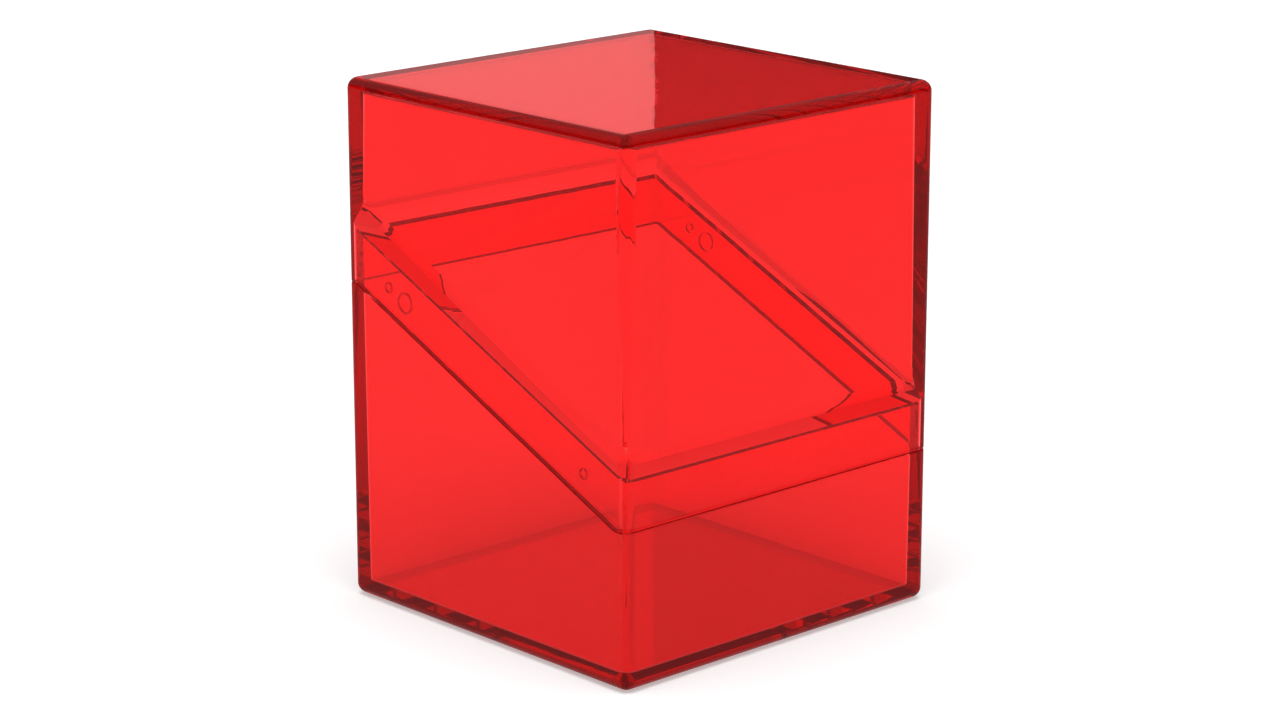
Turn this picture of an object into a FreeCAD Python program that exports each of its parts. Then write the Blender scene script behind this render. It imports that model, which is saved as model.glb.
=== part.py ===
import FreeCAD, Part
import math
import os
import Sketcher
from FreeCAD import Rotation, Vector

# A two-piece box for a sleeved card deck, moulded in clear tinted plastic. The base is a deep
# tray whose wall top slopes from a high back down to a low front. A thin lip stands up inside
# that wall top. The lid carries the rest of the walls and the roof, and its skirt slides down
# over the lip. The frame stands on the underside: X is the width, Y runs from the low front to
# the high back and Z is up. The origin is the middle of the underside.

SIZES_MM = {
    "box_width": 76.2,
    "box_depth": 75.0,
    "box_height": 98.0,
    "outer_round": 2.1,
    "base_wall": 3.2,
    "lid_wall": 3.35,
    "floor_plate": 2.7,
    "roof_plate": 2.7,
    "draft_angle": 0.3,
    "inner_round": 0.5,
    "split_front": 29.0,
    "split_back": 60.0,
    "split_level": 2.9,
    "split_gap": 0.06,
    "split_round": 0.3,
    "rim_front": 36.95,
    "rim_back": 70.6,
    "rim_gap": 0.8,
    "rim_round": 0.12,
    "skirt_wall": 1.25,
    "skirt_round": 0.8,
    "lip_gap": 0.3,
    "taper_rise": 3.85,
    "taper_round": 5.0,
    "corner_round_roof": 1.1,
    "corner_round_low": 0.35,
    "corner_rise": 3.0,
    "corner_bite": 1.0,
    "corner_sink": 0.01,
    "snap_drop": 4.7,
    "snap_round": 1.05,
    "snap_back": 26.0,
    "snap_front": -26.3,
    "key_round": 2.0,
    "key_back": 21.4,
    "snap_band": 0.35,
    "snap_depth": 0.45,
    "snap_hollow": 0.15,
}

doc = FreeCAD.newDocument("card_deck_box")
sheet = doc.addObject("Spreadsheet::Sheet", "sizes")
for row, (alias, size) in enumerate(SIZES_MM.items(), start=1):
    sheet.set(f"A{row}", alias)
    sheet.set(f"B{row}", str(size))
    sheet.setAlias(f"B{row}", alias)
doc.recompute()

HALF_DEPTH = "sizes.box_depth / 2"
ROOF_UNDERSIDE = "sizes.box_height - sizes.roof_plate"
FUNNEL_TOP = "sizes.rim_gap + sizes.taper_rise"
CORNER_ROUNDS = ("sizes.corner_round_roof", "sizes.corner_round_low")
CORNER_SIGNS = ((1, -1), (1, 1), (-1, 1), (-1, -1))

# How far an edge may lie from its nominal place and still be picked. Draft moves the corners and
# the top of the funnel away from their nominal places, so those have wider bands.
EDGE_SLACK = 0.05
CORNER_SLACK = 0.6
FUNNEL_SLACK = 1.6
UPRIGHT_LEAN = 0.8
UPRIGHT_LEAST = 5
SHELL_MARGIN = 1


def new_body(label):
    body = doc.addObject("PartDesign::Body", label)
    body.Label = label
    body.Placement = FreeCAD.Placement()
    return body


def new_sketch(body, label, role):
    """An empty sketch on one of the body's own origin planes."""
    sketch = body.newObject("Sketcher::SketchObject", label)
    plane = next(item for item in body.Origin.OriginFeatures if item.Role == role)
    sketch.AttachmentSupport = [(plane, "")]
    sketch.MapMode = "FlatFace"
    return sketch


def pin_point(sketch, geometry, position, where):
    """Ties one point of the sketch to two sheet expressions, measured from the origin."""
    for kind, expression in zip(("DistanceX", "DistanceY"), where):
        value = sketch.evalExpression(expression)
        constraint = Sketcher.Constraint(kind, -1, 1, geometry, position, value)
        index = sketch.addConstraint(constraint)
        sketch.setExpression(f"Constraints[{index}]", expression)


def draw_outline(sketch, corners):
    """A closed outline of straight lines through corners given as pairs of expressions."""
    count = len(corners)
    points = [Vector(*(sketch.evalExpression(item) for item in corner), 0) for corner in corners]
    for index in range(count):
        sketch.addGeometry(Part.LineSegment(points[index], points[(index + 1) % count]), False)
    for index in range(count):
        following = (index + 1) % count
        sketch.addConstraint(Sketcher.Constraint("Coincident", index, 2, following, 1))
    for index, corner in enumerate(corners):
        pin_point(sketch, index, 1, corner)


def draw_circle(sketch, centre, radius):
    point = Vector(*(sketch.evalExpression(item) for item in centre), 0)
    value = sketch.evalExpression(radius)
    geometry = sketch.addGeometry(Part.Circle(point, Vector(0, 0, 1), value), False)
    pin_point(sketch, geometry, 3, centre)
    index = sketch.addConstraint(Sketcher.Constraint("Radius", geometry, value))
    sketch.setExpression(f"Constraints[{index}]", radius)


def split_line(half_depth, shift):
    """Corners of the split line from front to back: level, sloped, level."""
    bend = "(sizes.box_depth / 2 - sizes.split_level)"
    return [
        (f"-({half_depth})", f"sizes.split_front + {shift}"),
        (f"-{bend}", f"sizes.split_front + {shift}"),
        (bend, f"sizes.split_back + {shift}"),
        (half_depth, f"sizes.split_back + {shift}"),
    ]


def rim_height(place, shift):
    """Height of the sloping rim line, moved up by shift, at a place from front to back."""
    fall = "(sizes.rim_back - sizes.rim_front) / sizes.box_depth"
    return f"sizes.rim_front + ({place} + sizes.box_depth / 2) * {fall} + {shift}"


def rim_line(half_depth, shift):
    """Ends of the sloping rim line from front to back."""
    return [(end, rim_height(end, shift)) for end in (f"-({half_depth})", half_depth)]


def across(body, kind, label, sketch, length):
    """A pad or pocket of a side-view sketch, symmetric about the YZ plane."""
    feature = body.newObject(f"PartDesign::{kind}", label)
    feature.Profile = sketch
    feature.SideType = "Symmetric"
    feature.setExpression("Length", length)
    doc.recompute()
    return feature


def side_profile(body, kind, label, line, end, width):
    """A pad or pocket between a line that runs from front to back and a level edge at end."""
    sketch = new_sketch(body, f"{label}_sketch", "YZ_Plane")
    draw_outline(sketch, line + [(line[-1][0], end), (line[0][0], end)])
    return across(body, kind, label, sketch, width)


def snap_rings(body, width):
    """The ring-shaped snap grooves, on both sides of the box at once."""
    sketch = new_sketch(body, "snap_rings_sketch", "YZ_Plane")
    marks = (
        ("sizes.snap_back", "sizes.snap_round"),
        ("sizes.snap_front", "sizes.snap_round"),
        ("sizes.key_back", "sizes.key_round"),
    )
    for place, radius in marks:
        centre = (place, rim_height(place, "-sizes.snap_drop"))
        draw_circle(sketch, centre, radius)
        draw_circle(sketch, centre, f"{radius} - sizes.snap_band")
    return across(body, "Pocket", "snap_rings", sketch, width)


def deck_space(body, label, wall, start, upwards):
    """A rectangular hollow cut from the closed end at the height start, widening as it goes."""
    sketch = new_sketch(body, f"{label}_sketch", "XY_Plane")
    sketch.setExpression(".AttachmentOffset.Base.z", start)
    half_x = f"(sizes.box_width / 2 - {wall})"
    half_y = f"(sizes.box_depth / 2 - {wall})"
    draw_outline(sketch, [(f"{a} * {half_x}", f"{b} * {half_y}") for a, b in CORNER_SIGNS])
    pocket = body.newObject("PartDesign::Pocket", label)
    pocket.Profile = sketch
    pocket.Reversed = upwards
    pocket.setExpression("Length", "sizes.box_height")
    pocket.setExpression("TaperAngle", "sizes.draft_angle")
    doc.recompute()
    return pocket


def slanted_rectangle(body, label, half_x, half_y, front, back):
    """A rectangle on a plane that rises from the height front to the height back."""
    sketch = new_sketch(body, label, "XY_Plane")
    slope = f"atan((({back}) - ({front})) / (2 * ({half_y})))"
    sketch.AttachmentOffset = FreeCAD.Placement(Vector(), Rotation(Vector(1, 0, 0), 1))
    sketch.setExpression(".AttachmentOffset.Rotation.Angle", slope)
    sketch.setExpression(".AttachmentOffset.Base.z", f"(({front}) + ({back})) / 2")
    long_y = f"({half_y}) / cos({slope})"
    draw_outline(sketch, [(f"{a} * ({half_x})", f"{b} * {long_y}") for a, b in CORNER_SIGNS])
    return sketch


def between_sections(body, kind, label, sections):
    """Adds or cuts the straight-sided space between two sketched sections."""
    loft = body.newObject(f"PartDesign::{kind}", label)
    loft.Profile = sections[0]
    loft.Sections = sections[1:]
    loft.Ruled = True
    doc.recompute()
    return loft


def lid_taper(body):
    """The funnel over the rim that brings the lid wall down to the thickness of the skirt."""
    sections = []
    mouth = "sizes.box_depth / 2 - sizes.skirt_wall"
    for label, wall, rise in (
        ("lid_taper_mouth", "sizes.skirt_wall", "sizes.rim_gap"),
        ("lid_taper_top", "sizes.lid_wall", FUNNEL_TOP),
    ):
        half_x = f"sizes.box_width / 2 - {wall}"
        half_y = f"sizes.box_depth / 2 - {wall}"
        front = rim_height(f"-({mouth})", rise)
        back = rim_height(f"({mouth})", rise)
        sections.append(slanted_rectangle(body, label, half_x, half_y, front, back))
    return between_sections(body, "SubtractiveLoft", "lid_taper", sections)


def corner_section(body, label, quarter, height, radius):
    """Outline of the filling in one inner corner of the lid, with quarter from 0 to 3."""
    sketch = new_sketch(body, label, "XY_Plane")
    sketch.setExpression(".AttachmentOffset.Base.z", height)
    widening = f"({ROOF_UNDERSIDE} - ({height})) * tan(sizes.draft_angle) + sizes.corner_sink"
    wall_x = f"(sizes.box_width / 2 - sizes.lid_wall + {widening})"
    wall_y = f"(sizes.box_depth / 2 - sizes.lid_wall + {widening})"
    side_x, side_y = CORNER_SIGNS[quarter]
    start_x, start_y = f"{side_x} * ({wall_x} - {radius})", f"{side_y} * ({wall_y} - {radius})"
    deep_x = f"{side_x} * ({wall_x} + sizes.corner_bite)"
    deep_y = f"{side_y} * ({wall_y} + sizes.corner_bite)"
    loop = [
        (f"{side_x} * {wall_x}", start_y),
        (start_x, f"{side_y} * {wall_y}"),
        (start_x, deep_y),
        (deep_x, deep_y),
        (deep_x, start_y),
    ]
    if side_x != side_y:
        loop = [loop[1], loop[0]] + loop[:1:-1]
    points = [Vector(*(sketch.evalExpression(item) for item in place), 0) for place in loop]
    centre = Vector(sketch.evalExpression(start_x), sketch.evalExpression(start_y), 0)
    value = sketch.evalExpression(radius)
    circle = Part.Circle(centre, Vector(0, 0, 1), value)
    turn = math.pi / 2
    arc = Part.ArcOfCircle(circle, (quarter - 1) * turn, quarter * turn)
    sketch.addGeometry(arc, False)
    count = len(loop)
    for index in range(1, count):
        sketch.addGeometry(Part.LineSegment(points[index], points[(index + 1) % count]), False)
    for index, place in enumerate(loop):
        following = (index + 1) % count
        sketch.addConstraint(Sketcher.Constraint("Coincident", index, 2, following, 1))
        pin_point(sketch, index, 1, place)
    index = sketch.addConstraint(Sketcher.Constraint("Radius", 0, value))
    sketch.setExpression(f"Constraints[{index}]", radius)
    return sketch


def corner_fillings(body):
    """Rounds the four upright inner corners of the lid, tighter towards the funnel."""
    for quarter, (_, side_y) in enumerate(CORNER_SIGNS):
        label = f"corner_filling_{quarter}"
        funnel = rim_height(f"({side_y} * sizes.box_depth / 2)", FUNNEL_TOP)
        low = f"{funnel} + sizes.corner_rise"
        top = corner_section(body, f"{label}_roof", quarter, ROOF_UNDERSIDE, CORNER_ROUNDS[0])
        bottom = corner_section(body, f"{label}_low", quarter, low, CORNER_ROUNDS[1])
        filling = between_sections(body, "AdditiveLoft", label, [top, bottom])
    return filling


def edge_names(feature, wanted, end_count):
    """Names of the feature's edges with that many end points, if those pass the test."""
    names = []
    for index, edge in enumerate(feature.Shape.Edges, start=1):
        ends = [vertex.Point for vertex in edge.Vertexes]
        if len(ends) == end_count and wanted(ends):
            names.append(f"Edge{index}")
    return names


def round_edges(body, label, base, wanted, radius, end_count=2):
    """Rounds those edges of the body's last feature whose end points pass the test."""
    names = edge_names(base, wanted, end_count)
    if not names:
        raise ValueError(f"no edges for {label}")
    feature = body.newObject("PartDesign::Fillet", label)
    feature.Base = (base, names)
    feature.setExpression("Radius", radius)
    doc.recompute()
    return feature


def size(expression):
    """The value of a sheet expression, for picking edges by where they lie."""
    return sheet.evalExpression(expression)


def near(value, target, slack=EDGE_SLACK):
    return abs(value - target) < slack


def upright(ends):
    """True for an edge that joins two heights, as a wall corner does."""
    flat = math.hypot(ends[0].x - ends[1].x, ends[0].y - ends[1].y)
    return flat < UPRIGHT_LEAN and abs(ends[0].z - ends[1].z) > UPRIGHT_LEAST


def at_corner(ends, half_x, half_y):
    """True if both ends stand at a corner of the rectangle given by its half sizes."""
    return all(
        near(abs(end.x), half_x, CORNER_SLACK) and near(abs(end.y), half_y, CORNER_SLACK)
        for end in ends
    )


def at_height(ends, height):
    return all(near(end.z, height) for end in ends)


def on_outline(ends, inset, radius):
    """True if the ends lie on a rounded rectangle set in from the outside of the box."""
    for end in ends:
        over_x = abs(end.x) - (size("sizes.box_width / 2") - inset - radius)
        over_y = abs(end.y) - (size("sizes.box_depth / 2") - inset - radius)
        reach = max(over_x, over_y)
        if over_x > 0 and over_y > 0:
            reach = math.hypot(over_x, over_y)
        if not near(reach, radius):
            return False
    return True


def on_rim(ends, shift):
    """True if both ends lie on the sloping rim line moved up by shift."""
    return all(near(end.z, size(rim_height(f"{end.y:.6f}", f"{shift:.6f}"))) for end in ends)


def on_taper_top(ends):
    """True if both ends lie where the funnel in the lid meets the drafted wall."""
    for end in ends:
        rise = end.z - size(rim_height(f"{end.y:.6f}", "sizes.rim_gap"))
        inside_x = abs(end.x) < HALF_WIDTH - SHELL_MARGIN
        inside_y = abs(end.y) < HALF_LENGTH - SHELL_MARGIN
        if not (inside_x and inside_y and near(rise, size("sizes.taper_rise"), FUNNEL_SLACK)):
            return False
    return True


def on_split(ends, shift):
    """True if both ends lie on the split line, moved up by shift, at the outside of the box."""
    bend = size("sizes.box_depth / 2 - sizes.split_level")
    front = size("sizes.split_front")
    back = size("sizes.split_back")
    for end in ends:
        share = (min(max(end.y, -bend), bend) + bend) / (2 * bend)
        if not near(end.z, front + (back - front) * share + shift):
            return False
    return on_outline(ends, 0, size("sizes.outer_round"))


HALF_WIDTH = size("sizes.box_width / 2")
HALF_LENGTH = size("sizes.box_depth / 2")
HEIGHT = size("sizes.box_height")


def build_base():
    body = new_body("base_shell")
    shell = side_profile(
        body, "Pad", "base_block", split_line(HALF_DEPTH, "0"), "0", "sizes.box_width"
    )
    round_edges(
        body,
        "base_outer_rounds",
        shell,
        lambda ends: at_height(ends, 0)
        or (upright(ends) and at_corner(ends, HALF_WIDTH, HALF_LENGTH)),
        "sizes.outer_round",
    )

    lip_depth = "sizes.box_depth / 2 - sizes.skirt_wall - sizes.lip_gap"
    lip_width = "sizes.box_width - 2 * (sizes.skirt_wall + sizes.lip_gap)"
    lip = side_profile(
        body, "Pad", "lip", rim_line(lip_depth, "0"), "sizes.floor_plate", lip_width
    )
    inset = size("sizes.skirt_wall + sizes.lip_gap")
    round_edges(
        body,
        "lip_corners",
        lip,
        lambda ends: upright(ends)
        and at_corner(ends, HALF_WIDTH - inset, HALF_LENGTH - inset),
        "sizes.skirt_round - sizes.lip_gap",
    )

    well = deck_space(body, "deck_well", "sizes.base_wall", "sizes.floor_plate", True)
    wall = size("sizes.base_wall")
    floor = size("sizes.floor_plate")
    rounded = round_edges(
        body,
        "well_rounds",
        well,
        lambda ends: at_height(ends, floor)
        or (upright(ends) and at_corner(ends, HALF_WIDTH - wall, HALF_LENGTH - wall)),
        "sizes.inner_round",
    )
    rounded = round_edges(
        body, "rim_rounds", rounded, lambda ends: on_rim(ends, 0), "sizes.rim_round"
    )
    round_edges(
        body, "base_split_round", rounded, lambda ends: on_split(ends, 0), "sizes.split_round"
    )
    return body


def build_lid():
    body = new_body("lid_shell")
    cover = side_profile(
        body,
        "Pad",
        "lid_block",
        split_line(HALF_DEPTH, "sizes.split_gap"),
        "sizes.box_height",
        "sizes.box_width",
    )
    round_edges(
        body,
        "lid_outer_rounds",
        cover,
        lambda ends: at_height(ends, HEIGHT)
        or (upright(ends) and at_corner(ends, HALF_WIDTH, HALF_LENGTH)),
        "sizes.outer_round",
    )

    deck_space(body, "lid_hollow", "sizes.lid_wall", ROOF_UNDERSIDE, False)
    skirt_depth = "sizes.box_depth / 2 - sizes.skirt_wall"
    skirt_width = "sizes.box_width - 2 * sizes.skirt_wall"
    side_profile(
        body, "Pocket", "lip_rebate", rim_line(skirt_depth, "sizes.rim_gap"), "0", skirt_width
    )
    rounded = round_edges(
        body, "taper_round", lid_taper(body), on_taper_top, "sizes.taper_round"
    )
    round_edges(
        body,
        "roof_rounds",
        rounded,
        lambda ends: at_height(ends, size(ROOF_UNDERSIDE)),
        "sizes.inner_round",
    )
    filled = corner_fillings(body)
    inset = size("sizes.skirt_wall")
    round_edges(
        body,
        "skirt_corners",
        filled,
        lambda ends: upright(ends)
        and at_corner(ends, HALF_WIDTH - inset, HALF_LENGTH - inset),
        "sizes.skirt_round",
    )
    rings_width = f"{skirt_width} + 2 * sizes.snap_depth"
    deepest = size(f"({rings_width}) / 2")
    rounded = round_edges(
        body,
        "snap_hollows",
        snap_rings(body, rings_width),
        lambda ends: near(abs(ends[0].x), deepest),
        "sizes.snap_hollow",
        end_count=1,
    )
    round_edges(
        body,
        "lid_split_round",
        rounded,
        lambda ends: on_split(ends, size("sizes.split_gap")),
        "sizes.split_round",
    )
    return body


base_shell = build_base()
lid_shell = build_lid()
doc.recompute()

for item in doc.Objects:
    if "Invalid" in item.State or "Error" in item.State:
        raise RuntimeError(f"{item.Label} failed: {item.State}")

os.makedirs("parts", exist_ok=True)
for part in (base_shell, lid_shell):
    if part.Shape.isNull() or not part.Shape.isValid() or len(part.Shape.Solids) != 1:
        raise RuntimeError(f"{part.Label} has no single valid solid")
    part.Shape.exportStep(os.path.join("parts", f"{part.Label}.step"))
    print(part.Label, round(part.Shape.Volume), "mm3", part.Shape.BoundBox)
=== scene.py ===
"""A clear red card deck box, base and lift-off lid, on a white studio floor."""

import math

import bpy
from mathutils import Matrix, Vector

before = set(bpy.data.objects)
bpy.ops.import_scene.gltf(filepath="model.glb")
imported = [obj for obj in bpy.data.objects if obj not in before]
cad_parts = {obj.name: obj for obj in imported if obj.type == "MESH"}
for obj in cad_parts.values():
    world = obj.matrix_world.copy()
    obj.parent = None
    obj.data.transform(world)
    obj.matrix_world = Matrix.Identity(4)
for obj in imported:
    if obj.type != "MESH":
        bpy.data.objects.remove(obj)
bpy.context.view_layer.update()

# The camera looks down a little at the upright edge between the front and the left side.
CAMERA_PLACE = Vector((-0.42637, -0.45659, 0.21530))
CAMERA_AZIMUTH = 43.0592
CAMERA_DROP = 15.2053
CAMERA_ROLL = 0.0367
FOCAL_LENGTH_MM = 99.12
SENSOR_MM = 36.0
NEAR_CLIP = 0.01

# The plastic: the two tints its skin wanders between, the colour that a long way through it
# takes, and how far its gloss and its flatness wander over one face.
SKIN_TINTS = ((0.97, 0.182, 0.182), (0.985, 0.194, 0.194))
SKIN_GLOSS = (0.0, 0.012)
FLOW_SCALE = 45
GRAIN_SCALE = 260
FLOW_DEPTH = 0.00002
NOISE_SPAN = (0.3, 0.7)
NOISE_DETAIL = 3
DEPTH_TINT = (0.93, 0.25, 0.25)
DEPTH_DENSITY = 180.0
PLASTIC_IOR = 1.49
# A faint red glow painted into the plastic lightens its thick edges. The plastic gives no light of
# its own.
PAINTED_RED_GLOW = (1.0, 0.0, 0.0)
PAINTED_RED_GLOW_STRENGTH = 0.013

STAGE_RADIUS = 4.0
STAGE_SIDES = 96
# The white wall around the stage, as bands: lowest and highest edge in metres, first and last
# azimuth in degrees. On the right of the line of sight a band is left open to the dim room.
WALL_BANDS = (
    (0, 0.72, 0, 360),
    (0.72, 1.0, 46.66, 226.66),
    (1.0, 2.04, 0, 360),
)
# The wall reflects nothing and only glows, while the floor does both. The floor's glow has one
# value up to the first distance from the middle, in metres, and another from the second one on.
WALL_COLOUR = (0.0, 0.0, 0.0)
WALL_GLOW = 0.96
FLOOR_COLOUR = (0.8, 0.8, 0.8)
# The weaker glow near the middle is painted shade on the floor under and around the box.
FLOOR_GLOW = (0.36, 0.5)
FLOOR_GLOW_REACH = (0.1, 0.7)
FLOOR_CLEARANCE = 0.0002
KEY_PLACE = Vector((-0.2, -0.2, 1.5))
KEY_SIZE = (1.2, 1.2)
KEY_COLOUR = (4.1, 4.1, 4.1)
# The soft box at the back has its right edge on this azimuth.
EDGE_AZIMUTH = 46.6
SOFT_BOX_REACH = 1.6
SOFT_BOX_HEIGHT = 0.62
SOFT_BOX_SIZE = (1.6, 0.8)
SOFT_BOX_COLOUR = (0.5, 0.28, 0.28)
# The room's brightness at some elevations in degrees, from straight down to straight up, and the
# sines of those two ends.
SURROUND_STOPS = (
    (-90, 0.22),
    (-3, 0.22),
    (6, 0.03),
    (13, 0.03),
    (26, 0.2),
    (90, 0.2),
)
SINE_SPAN = (-1, 1)
# Light crosses many faces of clear plastic, and each one counts as a bounce.
LIGHT_BOUNCES = 40


def new_material(name):
    """A new node material with its tree, principled shader and output."""
    material = bpy.data.materials.new(name)
    material.use_nodes = True
    tree = material.node_tree
    return material, tree, tree.nodes["Principled BSDF"], tree.nodes["Material Output"]


def set_span(node, side, span):
    """Sets the smallest and largest value on one side, From or To, of a map range node."""
    for end, value in zip(("Min", "Max"), span):
        node.inputs[f"{side} {end}"].default_value = value


def set_stops(ramp, stops):
    """Gives a colour ramp node its stops, as pairs of a position and a colour."""
    elements = ramp.color_ramp.elements
    # A new stop starts at the far end, and takes its own place below.
    while len(elements) < len(stops):
        elements.new(1)
    for element, (position, colour) in zip(elements, stops):
        element.position = position
        element.color = (*colour, 1)


def surface_noise(tree, place, scale):
    """A soft random value that changes over the surface, with the given cells to the metre."""
    noise = tree.nodes.new("ShaderNodeTexNoise")
    noise.inputs["Scale"].default_value = scale
    noise.inputs["Detail"].default_value = NOISE_DETAIL
    tree.links.new(place.outputs["Object"], noise.inputs["Vector"])
    return noise.outputs["Fac"]


def clear_plastic(name):
    """Glossy moulded plastic, faintly uneven, with a tint that deepens with its thickness and a
    faint painted red glow.
    """
    material, tree, shader, output = new_material(name)
    place = tree.nodes.new("ShaderNodeTexCoord")
    flow = surface_noise(tree, place, FLOW_SCALE)
    grain = surface_noise(tree, place, GRAIN_SCALE)

    tint = tree.nodes.new("ShaderNodeValToRGB")
    set_stops(tint, list(zip(NOISE_SPAN, SKIN_TINTS)))
    tree.links.new(flow, tint.inputs["Fac"])
    tree.links.new(tint.outputs["Color"], shader.inputs["Base Color"])

    gloss = tree.nodes.new("ShaderNodeMapRange")
    set_span(gloss, "From", NOISE_SPAN)
    set_span(gloss, "To", SKIN_GLOSS)
    tree.links.new(grain, gloss.inputs["Value"])
    tree.links.new(gloss.outputs["Result"], shader.inputs["Roughness"])

    swell = tree.nodes.new("ShaderNodeBump")
    swell.inputs["Strength"].default_value = 1
    swell.inputs["Distance"].default_value = FLOW_DEPTH
    tree.links.new(flow, swell.inputs["Height"])
    tree.links.new(swell.outputs["Normal"], shader.inputs["Normal"])

    shader.inputs["Transmission Weight"].default_value = 1
    shader.inputs["IOR"].default_value = PLASTIC_IOR
    # Painted red glow: it stands in for light caught inside the thick edges.
    shader.inputs["Emission Color"].default_value = (*PAINTED_RED_GLOW, 1)
    shader.inputs["Emission Strength"].default_value = PAINTED_RED_GLOW_STRENGTH
    depth = tree.nodes.new("ShaderNodeVolumeAbsorption")
    depth.inputs["Color"].default_value = (*DEPTH_TINT, 1)
    depth.inputs["Density"].default_value = DEPTH_DENSITY
    tree.links.new(depth.outputs["Volume"], output.inputs["Volume"])
    return material


def dress_shells():
    """Gives both CAD shells their plastic."""
    for node, name in (("base_shell", "base_plastic"), ("lid_shell", "lid_plastic")):
        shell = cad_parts[node]
        shell.data.materials.clear()
        shell.data.materials.append(clear_plastic(name))


def add_camera():
    """The camera at the viewing angle, and the scene's active one."""
    data = bpy.data.cameras.new("camera")
    data.sensor_width = SENSOR_MM
    data.lens = FOCAL_LENGTH_MM
    data.clip_start = NEAR_CLIP
    camera = bpy.data.objects.new("camera", data)
    bpy.context.scene.collection.objects.link(camera)
    turn = Matrix.Rotation(math.radians(-CAMERA_AZIMUTH), 4, "Z")
    tilt = Matrix.Rotation(math.radians(90 - CAMERA_DROP), 4, "X")
    roll = Matrix.Rotation(math.radians(CAMERA_ROLL), 4, "Z")
    camera.matrix_world = Matrix.Translation(CAMERA_PLACE) @ turn @ tilt @ roll
    bpy.context.scene.camera = camera


def glowing_matt(name, colour):
    """A matt colour with a white glow, whose strength socket is left to the caller."""
    material, tree, shader, _ = new_material(name)
    shader.inputs["Base Color"].default_value = (*colour, 1)
    shader.inputs["Roughness"].default_value = 1
    shader.inputs["Specular IOR Level"].default_value = 0
    shader.inputs["Emission Color"].default_value = (1, 1, 1, 1)
    return material, tree, shader.inputs["Emission Strength"]


def floor_white():
    """White with a glow that keeps its shadows pale, dimmer near the box as painted shade under
    and around it.
    """
    material, tree, glow = glowing_matt("floor_white", FLOOR_COLOUR)
    place = tree.nodes.new("ShaderNodeTexCoord")
    reach = tree.nodes.new("ShaderNodeVectorMath")
    reach.operation = "LENGTH"
    # Painted shade: the glow is weaker near the box and grows with distance from it.
    span = tree.nodes.new("ShaderNodeMapRange")
    span.interpolation_type = "SMOOTHSTEP"
    set_span(span, "From", FLOOR_GLOW_REACH)
    set_span(span, "To", FLOOR_GLOW)
    tree.links.new(place.outputs["Object"], reach.inputs[0])
    tree.links.new(reach.outputs["Value"], span.inputs["Value"])
    tree.links.new(span.outputs["Result"], glow)
    return material


def wall_white():
    """The even glow of the wall."""
    material, _, glow = glowing_matt("wall_white", WALL_COLOUR)
    glow.default_value = WALL_GLOW
    return material


def add_floor():
    """The round white floor, just below the box."""
    bpy.ops.mesh.primitive_circle_add(
        vertices=STAGE_SIDES,
        radius=STAGE_RADIUS,
        fill_type="NGON",
        location=(0, 0, -FLOOR_CLEARANCE),
    )
    floor = bpy.context.active_object
    floor.name = "floor"
    floor.data.materials.append(floor_white())
    return floor


def add_wall():
    """The low white wall around the floor, in bands of upright faces."""
    corners = []
    faces = []
    for low, high, first, last in WALL_BANDS:
        steps = round(STAGE_SIDES * (last - first) / 360)
        for step in range(steps + 1):
            turn = math.radians(first + (last - first) * step / steps)
            if step:
                count = len(corners)
                faces.append((count - 2, count, count + 1, count - 1))
            x, y = STAGE_RADIUS * math.cos(turn), STAGE_RADIUS * math.sin(turn)
            corners += [(x, y, low), (x, y, high)]
    data = bpy.data.meshes.new("low_wall")
    data.from_pydata(corners, [], faces)
    data.materials.append(wall_white())
    wall = bpy.data.objects.new("low_wall", data)
    bpy.context.scene.collection.objects.link(wall)
    return wall


def add_stage():
    """Floor and wall, neither of which shows as gloss."""
    floor = add_floor()
    wall = add_wall()
    for piece in (floor, wall):
        piece.visible_glossy = False


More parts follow.
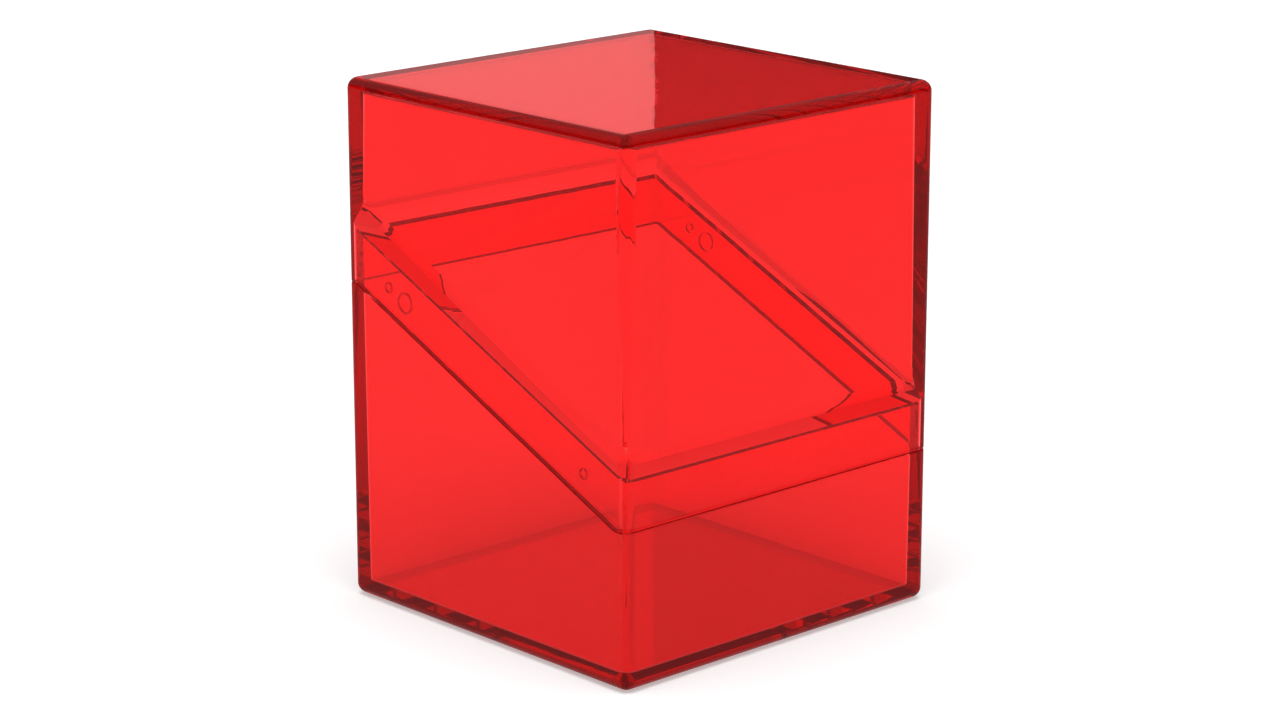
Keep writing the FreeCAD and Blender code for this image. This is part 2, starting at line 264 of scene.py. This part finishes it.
def add_surround():
    """A dim room, darkest just above the horizon."""
    world = bpy.data.worlds.new("studio")
    bpy.context.scene.world = world
    world.use_nodes = True
    tree = world.node_tree
    backdrop = tree.nodes["Background"]
    place = tree.nodes.new("ShaderNodeTexCoord")
    split = tree.nodes.new("ShaderNodeSeparateXYZ")
    ramp = tree.nodes.new("ShaderNodeValToRGB")
    rise = tree.nodes.new("ShaderNodeMapRange")
    set_span(rise, "From", SINE_SPAN)
    tree.links.new(place.outputs["Generated"], split.inputs["Vector"])
    tree.links.new(split.outputs["Z"], rise.inputs["Value"])
    tree.links.new(rise.outputs["Result"], ramp.inputs["Fac"])
    tree.links.new(ramp.outputs["Color"], backdrop.inputs["Color"])
    lowest, highest = SINE_SPAN
    stops = []
    for elevation, glow in SURROUND_STOPS:
        sine = math.sin(math.radians(elevation))
        stops.append(((sine - lowest) / (highest - lowest), (glow, glow, glow)))
    set_stops(ramp, stops)
    backdrop.inputs["Strength"].default_value = 1


def add_panel(name, place, facing, size, colour, seen):
    """A soft box as bright as its colour, shining along facing. Only a seen one shows as gloss."""
    data = bpy.data.lights.new(name, "AREA")
    data.shape = "RECTANGLE"
    data.size, data.size_y = size
    data.color = colour
    data.energy = math.pi * data.size * data.size_y
    panel = bpy.data.objects.new(name, data)
    bpy.context.scene.collection.objects.link(panel)
    panel.location = place
    panel.rotation_euler = Vector(facing).to_track_quat("-Z", "Y").to_euler()
    panel.visible_glossy = seen
    panel.visible_transmission = seen


def add_lights():
    """A soft light overhead that the plastic does not show, and a rosy soft box at the back."""
    add_panel("key", KEY_PLACE, -KEY_PLACE, KEY_SIZE, KEY_COLOUR, False)
    turn = math.radians(EDGE_AZIMUTH)
    back = Vector((math.cos(turn), math.sin(turn), 0))
    left = Vector((-back.y, back.x, 0))
    width = SOFT_BOX_SIZE[0]
    place = back * SOFT_BOX_REACH + left * width / 2 + Vector((0, 0, SOFT_BOX_HEIGHT))
    add_panel("soft_box", place, -back, SOFT_BOX_SIZE, SOFT_BOX_COLOUR, True)


dress_shells()
add_camera()
add_stage()
add_surround()
add_lights()

scene = bpy.context.scene
scene.view_settings.view_transform = "Standard"
scene.cycles.max_bounces = LIGHT_BOUNCES
scene.cycles.glossy_bounces = LIGHT_BOUNCES
scene.cycles.transmission_bounces = LIGHT_BOUNCES
